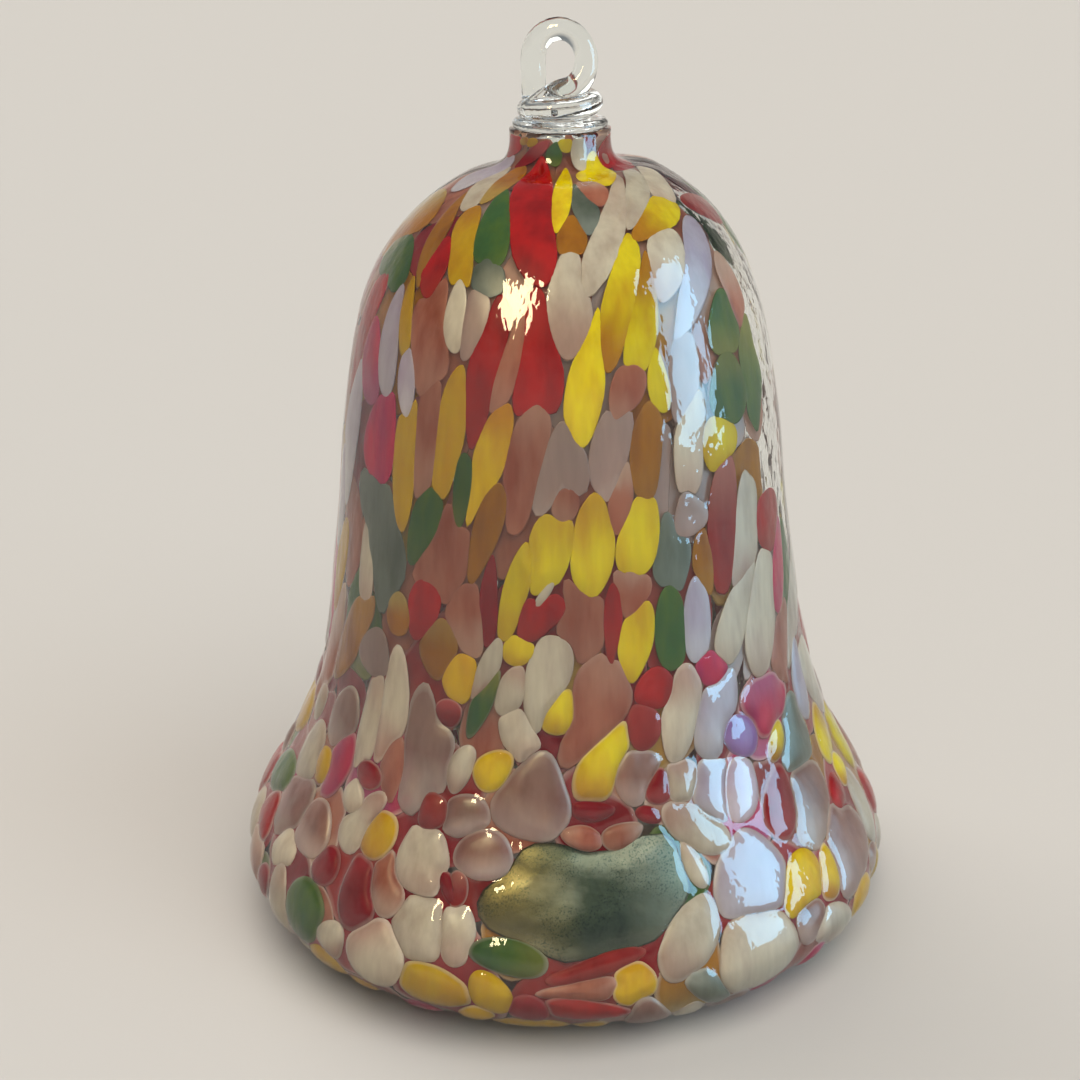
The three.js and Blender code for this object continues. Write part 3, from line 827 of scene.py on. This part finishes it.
def chip_values(rings, rim):
    """A value for each point of a chip, from rows for its top rings and one for its rim underneath."""
    return np.concatenate([np.ravel(rings), [0.0], rim, [0.0]])


# At each point of a chip: how far it lies along the chip, how much of the rim's tone it has, and how
# much of the painted highlight round the rim, a pale edge that stands in for light caught there
RINGS_ALONG = np.outer(CHIP_FRACTIONS, np.cos(SPOKES))
CHIP_ALONG = chip_values(RINGS_ALONG, RINGS_ALONG[1])
CHIP_RIMS = chip_values(np.repeat((1.0, 0.8, 0.15, 0.0, 0.0), CHIP_SIDES), np.ones(CHIP_SIDES))
CHIP_RIM_HIGHLIGHT = chip_values(np.repeat((1.0, 1.0, 0.0, 0.0, 0.0), CHIP_SIDES), np.ones(CHIP_SIDES))


# Materials. Each colour has its own tone, the tone of its veins, the tone that it fades to at one end
# and along its rim, how much light passes through it, how strong the rim is, and how much sheen it has.
Glass = namedtuple("Glass", "tone veins faded through rim sheen")
COLOURS = {
    "white": Glass((0.57, 0.485, 0.37), (0.44, 0.345, 0.26), (0.40, 0.24, 0.18), 0.2, 0.35, 0.5),
    "yellow": Glass((0.72, 0.57, 0.001), (0.60, 0.38, 0.001), (0.42, 0.17, 0.001), 0.12, 0.55, 0.1),
    "ochre": Glass((0.42, 0.16, 0.001), (0.31, 0.10, 0.001), (0.45, 0.30, 0.07), 0.4, 0.4, 0.1),
    "red": Glass((0.40, 0.003, 0.002), (0.24, 0.001, 0.001), (0.30, 0.02, 0.01), 0.15, 0.5, 0.1),
    "maroon": Glass((0.20, 0.001, 0.003), (0.28, 0.003, 0.008), (0.40, 0.05, 0.05), 0.35, 0.3, 0.1),
    "magenta": Glass((0.52, 0.006, 0.06), (0.36, 0.006, 0.08), (0.38, 0.06, 0.16), 0.3, 0.3, 0.15),
    "rose": Glass((0.36, 0.02, 0.014), (0.26, 0.01, 0.008), (0.44, 0.14, 0.10), 0.45, 0.4, 0.1),
    "pink": Glass((0.42, 0.14, 0.075), (0.31, 0.06, 0.024), (0.52, 0.33, 0.24), 0.4, 0.3, 0.3),
    "mauve": Glass((0.34, 0.145, 0.095), (0.23, 0.07, 0.04), (0.62, 0.48, 0.42), 0.6, 0.8, 0.9),
    "lilac": Glass((0.50, 0.42, 0.50), (0.42, 0.31, 0.41), (0.62, 0.58, 0.60), 0.4, 0.7, 0.9),
    "violet": Glass((0.20, 0.06, 0.32), (0.26, 0.09, 0.36), (0.42, 0.27, 0.50), 0.4, 0.6, 0.8),
    "green": Glass((0.05, 0.13, 0.03), (0.10, 0.17, 0.02), (0.22, 0.22, 0.03), 0.5, 0.4, 0.1),
    "grey": Glass((0.15, 0.17, 0.12), (0.08, 0.10, 0.06), (0.34, 0.36, 0.31), 0.55, 0.6, 0.6),
}
BLACK = (0.0, 0.0, 0.0)
WHITE = (1.0, 1.0, 1.0)

# How chips differ: spread of their tones, mean and spread of their fade, where along a chip it runs,
# and how strong the rims are on the dome. Three colours fade to pale at their lower ends.
TONE_SPREAD = (0.84, 1.12)
FADE_STRENGTH = (0.45, 0.5)
FADE_RUN = (-0.2, 0.8)
DOME_RIM = 0.25
PALE_BELOW = ("mauve", "lilac", "violet")
PALE_LEAST = 0.4
PALE_DOME = 0.5
# Painted highlight: strength and tone of a pale edge round the rims of pads, standing in for light
# caught at their edges
PAINTED_RIM_HIGHLIGHT = 0.5
PAINTED_RIM_HIGHLIGHT_TONE = (0.74, 0.64, 0.54)
# Painted shade: yellow darkens towards its fade tone below these heights and on the left side, where
# less light falls, by at most this share
SHADED_AMBER_HEIGHTS = (8.0, 30.0)
SHADED_AMBER_SIDE = 0.45
SHADED_AMBER_MOST = 0.65


def set_inputs(node, values):
    for name, value in values.items():
        node.inputs[name].default_value = value


def new_material(name, values):
    """A new material, its tree of nodes and its main shader, with values for that shader."""
    material = bpy.data.materials.new(name)
    material.use_nodes = True
    shader = material.node_tree.nodes["Principled BSDF"]
    set_inputs(shader, values)
    return material, material.node_tree, shader


def clear_for_lamps(tree, shader, tint):
    """Lets the light of lamps through the glass, so that what lies in it is lit."""
    path = tree.nodes.new("ShaderNodeLightPath")
    through = tree.nodes.new("ShaderNodeBsdfTransparent")
    through.inputs["Color"].default_value = (*tint, 1.0)
    mix = tree.nodes.new("ShaderNodeMixShader")
    tree.links.new(path.outputs["Is Shadow Ray"], mix.inputs["Fac"])
    tree.links.new(shader.outputs["BSDF"], mix.inputs[1])
    tree.links.new(through.outputs["BSDF"], mix.inputs[2])
    tree.links.new(mix.outputs["Shader"], tree.nodes["Material Output"].inputs["Surface"])


def noise(tree, scale, detail, stretch=(1.0, 1.0, 1.0)):
    place = tree.nodes.new("ShaderNodeTexCoord")
    mapping = tree.nodes.new("ShaderNodeMapping")
    set_inputs(mapping, {"Scale": stretch})
    texture = tree.nodes.new("ShaderNodeTexNoise")
    set_inputs(texture, {"Scale": scale, "Detail": detail})
    tree.links.new(place.outputs["Object"], mapping.inputs["Vector"])
    tree.links.new(mapping.outputs["Vector"], texture.inputs["Vector"])
    return texture.outputs["Fac"]


def ramp(tree, value, *stops):
    """A colour ramp over a value, from pairs of a position and a colour."""
    node = tree.nodes.new("ShaderNodeValToRGB")
    while len(node.color_ramp.elements) < len(stops):
        node.color_ramp.elements.new(0.5)
    for element, (position, colour) in zip(node.color_ramp.elements, stops):
        element.position = position
        element.color = (*colour, 1.0)
    tree.links.new(value, node.inputs["Fac"])
    return node.outputs["Color"]


def blend(tree, factor, first, second, mode="MIX"):
    """A mix of two colours, each a socket or a plain colour, as is the factor."""
    node = tree.nodes.new("ShaderNodeMix")
    node.data_type = "RGBA"
    node.blend_type = mode
    for name, value in (("Factor", factor), ("A", first), ("B", second)):
        named = [socket for socket in node.inputs if socket.name == name]
        target = next(socket for socket in named if socket.type == "RGBA" or name == "Factor")
        if isinstance(value, float):
            target.default_value = value
        elif isinstance(value, tuple):
            target.default_value = (*value, 1.0)
        else:
            tree.links.new(value, target)
    return next(socket for socket in node.outputs if socket.type == "RGBA")


def attribute(tree, name):
    node = tree.nodes.new("ShaderNodeAttribute")
    node.attribute_name = name
    return node.outputs["Fac"]


def bumped(tree, shader, height, strength, distance):
    """Gives a shader small waves of a height."""
    bump = tree.nodes.new("ShaderNodeBump")
    set_inputs(bump, {"Strength": strength, "Distance": distance})
    tree.links.new(height, bump.inputs["Height"])
    tree.links.new(bump.outputs["Normal"], shader.inputs["Normal"])


def clear_glass(name, film):
    """Clear glass, with a thin film between two thicknesses in nanometres, if any."""
    material, tree, shader = new_material(name, {
        "Base Color": (0.95, 0.985, 0.965, 1.0), "Roughness": 0.012, "IOR": 1.5,
        "Transmission Weight": 1.0})
    if film:
        set_inputs(shader, {"Thin Film IOR": 1.57})
        spread = tree.nodes.new("ShaderNodeMapRange")
        set_inputs(spread, {"From Min": 0.3, "From Max": 0.7, "To Min": film[0], "To Max": film[1]})
        tree.links.new(noise(tree, scale=55.0, detail=2.0), spread.inputs["Value"])
        tree.links.new(spread.outputs["Result"], shader.inputs["Thin Film Thickness"])
    waves = noise(tree, scale=230.0, detail=3.0, stretch=(1.0, 1.0, 0.5))
    bumped(tree, shader, waves, strength=0.16, distance=0.002)
    clear_for_lamps(tree, shader, tint=(0.92, 0.96, 0.93))
    return material


def chip_glass(colour):
    """Coloured glass: veins of a second tone, a fade to a third, and a change from chip to chip."""
    glass = COLOURS[colour]
    material, tree, shader = new_material(f"{colour}_chips", {
        "Roughness": 0.3, "Specular IOR Level": 0.0, "IOR": 1.01, "Transmission Weight": glass.through,
        "Coat Weight": glass.sheen, "Coat Roughness": 0.32, "Coat IOR": 1.6})
    clouds = noise(tree, scale=320.0, detail=4.0, stretch=(1.0, 1.0, 0.25))
    streaks = ramp(tree, clouds, (0.42, glass.tone), (0.68, glass.veins))
    body = blend(tree, attribute(tree, "fade"), streaks, glass.faded)
    fibres = noise(tree, scale=1100.0, detail=3.0, stretch=(1.0, 1.0, 0.1))
    threads = ramp(tree, fibres, (0.36, (0.92, 0.91, 0.90)), (0.62, WHITE))
    body = blend(tree, 1.0, body, threads, "MULTIPLY")
    # Painted highlight: a pale edge round the rims of pads, standing in for light caught there
    body = blend(tree, attribute(tree, "painted_rim_highlight"), body, PAINTED_RIM_HIGHLIGHT_TONE)
    shade = tree.nodes.new("ShaderNodeHueSaturation")
    tree.links.new(body, shade.inputs["Color"])
    tree.links.new(attribute(tree, "tone"), shade.inputs["Value"])
    tree.links.new(shade.outputs["Color"], shader.inputs["Base Color"])
    clear_for_lamps(tree, shader, tint=[math.sqrt(glass.through * c) for c in glass.tone])
    return material


def lustre_glass():
    """Glass with a worn metallic lustre, clouded and pitted, gold at one end and grey green after; the
    gold is partly its own tint and partly a painted warm highlight.
    """
    material, tree, shader = new_material("lustre_glass", {"Roughness": 0.34, "Metallic": 0.7})
    clouding = noise(tree, scale=70.0, detail=5.0, stretch=(0.7, 1.0, 1.3))
    # Partly painted highlight: the gold end is the lustre's own tint, brightened to stand in for a warm
    # glow on it
    gold_and_painted_glow = ramp(tree, clouding, (0.34, (0.04, 0.036, 0.010)), (0.52, (0.16, 0.12, 0.036)),
                  (0.68, (0.42, 0.34, 0.15)))
    green = ramp(tree, clouding, (0.40, (0.010, 0.022, 0.014)), (0.55, (0.038, 0.052, 0.028)),
                 (0.70, (0.22, 0.23, 0.165)))
    along = attribute(tree, "fade")
    towards_green = ramp(tree, along, (0.0, BLACK), (0.45, WHITE))
    towards_pale = ramp(tree, along, (0.62, BLACK), (0.95, (0.7, 0.7, 0.7)))
    cloud = blend(tree, towards_green, gold_and_painted_glow, green)
    cloud = blend(tree, towards_pale, cloud, (0.22, 0.22, 0.155))
    pits = ramp(tree, noise(tree, scale=3400.0, detail=2.0), (0.34, (0.42, 0.52, 0.54)), (0.50, WHITE))
    clusters = ramp(tree, noise(tree, scale=150.0, detail=2.0), (0.42, BLACK), (0.54, WHITE))
    pitted = blend(tree, clusters, cloud, pits, "MULTIPLY")
    tree.links.new(pitted, shader.inputs["Base Color"])
    bumped(tree, shader, noise(tree, scale=600.0, detail=2.0), strength=0.12, distance=0.0006)
    return material


film_glass = clear_glass("film_glass", (40.0, 85.0))
plain_glass = clear_glass("plain_glass", None)
chip_materials = {colour: chip_glass(colour) for colour in COLOURS}
chip_materials["lustre"] = lustre_glass()


# Pieces of the bell

def settle(piece, slot, *nodes):
    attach(piece, "root")
    if nodes:
        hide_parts(*nodes)


skin, outer_faces = bell_skin()
skin.data.materials.append(film_glass)
skin.data.materials.append(plain_glass)
inner = np.ones(len(skin.data.polygons), int)
inner[:outer_faces] = 0
skin.data.polygons.foreach_set("material_index", inner.tolist())
settle(skin, "clear_glass", "bell_shell")


def chip_piece(name, members, bodies, looks, colour):
    """One mesh of some of the chips, with the looks of each on its vertices."""
    faces = []
    for i in range(len(members)):
        faces += chip_faces(i * len(CHIP_ALONG))
    piece = add_mesh(name, np.concatenate([bodies[i] for i in members]), faces)
    for look, values in looks.items():
        layer = piece.data.attributes.new(look, "FLOAT", "POINT")
        layer.data.foreach_set("value", values[members].ravel().tolist())
    piece.data.materials.append(chip_materials[colour])
    return piece


def shaded_amber_share(s, angle):
    """Painted shade: yellow glass darkens low on the bell and down its left side, where less light
    falls.
    """
    low = 1 - smooth_ramp(wall_height(s), *SHADED_AMBER_HEIGHTS)
    side = smooth_ramp(-np.sin(angle), 0.0, SHADED_AMBER_SIDE)
    return SHADED_AMBER_MOST * np.maximum(low, side)


def chip_looks(chip_set):
    """The tone, fade and painted rim highlight at each point of each chip; for yellow the fade also
    carries painted shade.
    """
    count = len(chip_set.rows)
    tones = rng.uniform(*TONE_SPREAD, count)
    ends = rng.choice((-1.0, 1.0), count)
    strengths = np.clip(rng.normal(*FADE_STRENGTH, count), 0.0, 1.0)
    table = chip_set.table()
    pads = pad_share(table[:, PLACE])
    shaded_amber = shaded_amber_share(table[:, PLACE], table[:, ANGLE])
    rims = np.array([COLOURS[c].rim if c in COLOURS else 0.0 for c in chip_set.colours])
    rims *= DOME_RIM + (1 - DOME_RIM) * pads
    for i, colour in enumerate(chip_set.colours):
        if colour in PALE_BELOW:
            ends[i] = -1.0
            strengths[i] = PALE_LEAST + (1 - PALE_LEAST) * strengths[i]
    fades = strengths[:, None] * smooth_ramp(ends[:, None] * CHIP_ALONG[None], *FADE_RUN)
    fades = np.maximum(fades, rims[:, None] * CHIP_RIMS[None])
    for i, colour in enumerate(chip_set.colours):
        # Painted shade: yellow chips darker low on the bell and on its left
        if colour == "yellow":
            fades[i] = np.maximum(fades[i], shaded_amber[i])
        if colour == "mauve":
            fades[i] = np.maximum(fades[i], PALE_DOME * (1 - pads[i]))
        if colour == "lustre":
            fades[i] = (CHIP_ALONG + 1) / 2
    return {"tone": np.outer(tones, np.ones(len(CHIP_ALONG))), "fade": fades,
            "painted_rim_highlight": np.outer(PAINTED_RIM_HIGHLIGHT * strengths * pads, CHIP_RIM_HIGHLIGHT)}


def lay_chips(chip_set, bodies, name):
    """One piece for each chip with a solid of its own, and one for each colour of the others."""
    looks = chip_looks(chip_set)
    for i, node in enumerate(chip_set.nodes):
        if node:
            colour = chip_set.colours[i]
            settle(chip_piece(f"{node}_glass", [i], bodies, looks, colour), f"{colour}_glass", node)
    for colour in COLOURS:
        loose = [i for i, c in enumerate(chip_set.colours) if c == colour and not chip_set.nodes[i]]
        slot = "lilac_glass" if colour == "violet" else f"{colour}_glass"
        if loose:
            settle(chip_piece(f"{name}_{colour}", loose, bodies, looks, colour), slot)


def under_skin(s, angle):
    edge = np.maximum(edge_depth(s, angle), 0.0)
    return skin_height(s, angle, edge, pad_crown(s, edge)) - CHIP_DEPTH


def under_chips(s, angle):
    return layer_height(s) - GROUND_DEPTH + GROUND_WAVER * hand_waver(s, angle)


top_bodies = chip_bodies(chips, chip_edges(chips, CHIP_GAP), under_skin, CHIP_THICKNESS, CHIP_RIM)
lay_chips(top_set, top_bodies, "chips")
ground_bodies = chip_bodies(ground, chip_edges(ground, 0.0), under_chips, GROUND_THICKNESS, 0.0)
lay_chips(ground_set, ground_bodies, "ground")


# Cap, wrap and loop, fused as the real ones are. The cap's profile has radii and heights over the neck.
PLUG_PROFILE = ((4.2, -2.0), (4.2, 0.12))
FLANGE_PROFILE = ((7.1, 0.12), (7.3, 1.0), (6.7, 1.5))
POST_PROFILE = ((4.4, 1.7), (4.4, 3.7), (2.9, 4.5))
POST_CROWN = 0.1
CAP_SIDES = 64
WRAP_ROD = 3.4
WRAP_RADIUS = 4.8
WRAP_LOW = 131.9
WRAP_RISE = 1.9
WRAP_TURNS = 0.95
WRAP_START = math.radians(-160)
WRAP_STEPS = 90
WRAP_OVERRUN = 0.04
WRAP_END_TAPER = 0.5
WRAP_TAPER_POWER = 12
LOOP_ROD = 3.6
LOOP_WIDTH = 11.6
LOOP_HEIGHT = 12.6
LOOP_LOW = 134.9
LOOP_STEP_BACK = 3.5
LOOP_TAIL = 3.9
LOOP_ROOT = (-1.0, -0.4)
LOOP_BEND = (1.4, -0.6, -1.3)
LOOP_START = -math.pi / 2
LOOP_TURN = 1.5 * math.pi
LOOP_STEPS = 9
LOOP_PATH_STEPS = 10
LOOP_SWELL = 0.07
LOOP_SWELL_TURN = 9
ROD_SIDES = 24
ROD_DOME = 0.4
OFF_ALL_RODS = (0.3, 0.2, 0.9)
FUSE_VOXEL = 0.13
FUSE_SOFTENING = 0.5
FUSE_ROUNDS = 10


def rod_mesh(name, path, radii):
    """A round rod along a path of points, with domed ends."""
    tangent = np.gradient(path, axis=0)
    tangent /= np.linalg.norm(tangent, axis=1)[:, None]
    side = np.cross(tangent[0], OFF_ALL_RODS)
    turn = all_round(ROD_SIDES)
    rings = []
    for place, along, radius in zip(path, tangent, radii):
        side = side - along * (side @ along)
        side /= np.linalg.norm(side)
        other = np.cross(along, side)
        rings.append(place + radius * (np.cos(turn)[:, None] * side + np.sin(turn)[:, None] * other))
    start = path[0] - tangent[0] * radii[0] * ROD_DOME
    end = path[-1] + tangent[-1] * radii[-1] * ROD_DOME
    return lofted(name, rings, start, end)


def smooth_path(points, steps):
    """A Catmull-Rom curve through points."""
    points = np.asarray(points, float)
    padded = np.concatenate([[2 * points[0] - points[1]], points, [2 * points[-1] - points[-2]]])
    t = np.linspace(0, 1, steps, endpoint=False)[:, None]
    out = []
    for a, b, c, d in zip(padded, padded[1:], padded[2:], padded[3:]):
        square = 2 * a - 5 * b + 4 * c - d
        cube = 3 * b - a - 3 * c + d
        out.append(0.5 * (2 * b + (c - a) * t + square * t ** 2 + cube * t ** 3))
    return np.concatenate(out + [points[-1:]])


def loop_rod():
    """The curl of the loop: out of the wrap on the left, up the right side, over and down behind."""
    front = -LOOP_STEP_BACK / 2
    reach_x = (LOOP_WIDTH - LOOP_ROD) / 2
    reach_z = (LOOP_HEIGHT - LOOP_ROD) / 2
    points = [(-LOOP_TAIL + LOOP_ROOT[0], front + LOOP_ROOT[1], WRAP_LOW),
              (-LOOP_TAIL + LOOP_BEND[0], front + LOOP_BEND[1], LOOP_LOW + LOOP_BEND[2])]
    for i in range(LOOP_STEPS + 1):
        turn = i / LOOP_STEPS
        angle = LOOP_START + LOOP_TURN * turn
        points.append((reach_x * math.cos(angle), front + LOOP_STEP_BACK * turn,
                       LOOP_LOW + reach_z + reach_z * math.sin(angle)))
    points.append((-LOOP_TAIL, -front, LOOP_LOW + LOOP_ROD / 2))
    points.append((-LOOP_TAIL, -front, WRAP_LOW))
    path = smooth_path(points, LOOP_PATH_STEPS)
    swell = 1 + LOOP_SWELL * np.sin(np.linspace(0, LOOP_SWELL_TURN, len(path)))
    return rod_mesh("loop_rod", path, LOOP_ROD / 2 * swell)


def wrap_rod():
    t = np.linspace(-WRAP_OVERRUN, 1 + WRAP_OVERRUN, WRAP_STEPS)
    angle = WRAP_START + 2 * math.pi * WRAP_TURNS * t
    path = turned(WRAP_RADIUS, WRAP_LOW + WRAP_RISE * t, angle)
    taper = 1 - WRAP_END_TAPER * np.clip(np.abs(2 * t - 1), 0, 1) ** WRAP_TAPER_POWER
    return rod_mesh("wrap_rod", path, WRAP_ROD / 2 * taper)


def cap_body():
    """The plug in the bore, the flange on the rim of the neck, and the post that carries the loop."""
    turn = all_round(CAP_SIDES)
    profile = PLUG_PROFILE + FLANGE_PROFILE + POST_PROFILE
    rings = [turned(radius, NECK_TOP + height, turn) for radius, height in profile]
    start = (0.0, 0.0, NECK_TOP + profile[0][1])
    end = (0.0, 0.0, NECK_TOP + profile[-1][1] + POST_CROWN)
    return lofted("cap_body", rings, start, end)


def fused(name, parts):
    """One smooth closed body of several that run into each other."""
    joined = parts[0]
    bpy.ops.object.select_all(action="DESELECT")
    for part in parts:
        part.select_set(True)
    bpy.context.view_layer.objects.active = joined
    bpy.ops.object.join()
    joined.name = name
    joined.data.name = name
    remesh = joined.modifiers.new("fuse", "REMESH")
    remesh.mode = "VOXEL"
    remesh.voxel_size = FUSE_VOXEL * MM
    soften = joined.modifiers.new("soften", "SMOOTH")
    soften.factor = FUSE_SOFTENING
    soften.iterations = FUSE_ROUNDS
    for modifier in ("fuse", "soften"):
        bpy.ops.object.modifier_apply(modifier=modifier)
    joined.data.polygons.foreach_set("use_smooth", [True] * len(joined.data.polygons))
    return joined


seal = fused("seal_and_loop", [cap_body(), wrap_rod(), loop_rod()])
seal.data.materials.append(plain_glass)
settle(seal, "clear_glass", "neck_cap", "neck_wrap", "hanging_loop")


# Floor, light and camera, with the places of lamps in metres
FLOOR_HALF_SIZE = 40000.0
SUN_SPREAD = math.radians(60)
SOFTBOX_AIM = (0.0, 0.0, 0.06)


def floor_piece():
    size = FLOOR_HALF_SIZE
    corners = [(-size, -size, 0.0), (size, -size, 0.0), (size, size, 0.0), (-size, size, 0.0)]
    floor = add_mesh("floor", corners, [(0, 1, 2, 3)], smooth=False)
    look = {"Base Color": (0.62, 0.58, 0.53, 1.0), "Roughness": 0.9, "Specular IOR Level": 0.0}
    floor.data.materials.append(new_material("pale_floor", look)[0])


def hung(lamp, place, aim):
    """A lamp at a place, turned towards another."""
    holder = bpy.data.objects.new(lamp.name, lamp)
    holder.location = place
    holder.rotation_euler = (Vector(aim) - Vector(place)).to_track_quat("-Z", "Y").to_euler()
    bpy.context.scene.collection.objects.link(holder)
    return holder


def softbox(name, place, width, height, power, colour, shape="RECTANGLE"):
    """A lamp that only shows as a reflection in the glass."""
    lamp = bpy.data.lights.new(name, "AREA")
    lamp.shape = shape
    lamp.size = width
    lamp.size_y = height
    lamp.energy = power
    lamp.color = colour
    holder = hung(lamp, place, SOFTBOX_AIM)
    holder.visible_camera = False
    holder.visible_diffuse = False
    holder.visible_transmission = False


def sun(name, place, strength, colour):
    """An even soft light from one side, which reaches the whole floor alike and isn't mirrored."""
    lamp = bpy.data.lights.new(name, "SUN")
    lamp.energy = strength
    lamp.angle = SUN_SPREAD
    lamp.color = colour
    holder = hung(lamp, place, (0.0, 0.0, 0.0))
    holder.visible_glossy = False


def studio():
    world = bpy.data.worlds.new("studio")
    world.use_nodes = True
    tree = world.node_tree
    place = tree.nodes.new("ShaderNodeTexCoord")
    split = tree.nodes.new("ShaderNodeSeparateXYZ")
    tree.links.new(place.outputs["Generated"], split.inputs["Vector"])
    walls = ramp(tree, split.outputs["Z"], (0.10, (0.68, 0.63, 0.565)), (0.40, (0.21, 0.22, 0.23)))
    tree.links.new(walls, tree.nodes["Background"].inputs["Color"])
    bpy.context.scene.world = world
    sun("front_light", (0.45, -0.85, 1.8), 2.05, (1.0, 0.97, 0.92))
    sun("back_light", (-0.8, 1.1, 1.2), 1.2, (1.0, 0.97, 0.93))
    sun("cool_light", (0.9, -0.35, 0.3), 0.85, (0.40, 0.70, 1.0))
    softbox("window", (0.62, -0.20, 0.25), 0.34, 0.66, 4.9, (0.40, 0.74, 1.0))
    softbox("high_lamp", (-0.246, -0.44, 0.48), 0.13, 0.28, 2.0, (1.0, 0.80, 0.46), "ELLIPSE")


def photo_camera():
    lens = bpy.data.cameras.new("camera")
    lens.sensor_width = 36.0
    lens.lens = lens.sensor_width * PHOTO_FOCAL / PHOTO_SIZE
    lens.shift_x = (PHOTO_SIZE / 2 - PHOTO_AXIS_X) / PHOTO_SIZE
    lens.clip_start = 0.01
    camera = bpy.data.objects.new("camera", lens)
    camera.location = (0.0, -CAMERA_BACK * MM, CAMERA_UP * MM)
    camera.rotation_mode = "ZYX"
    camera.rotation_euler = (math.pi / 2 - PHOTO_PITCH, 0.0, -PHOTO_ROLL)
    bpy.context.scene.collection.objects.link(camera)
    bpy.context.scene.camera = camera


floor_piece()
studio()
photo_camera()
bpy.context.scene.view_settings.view_transform = "Standard"
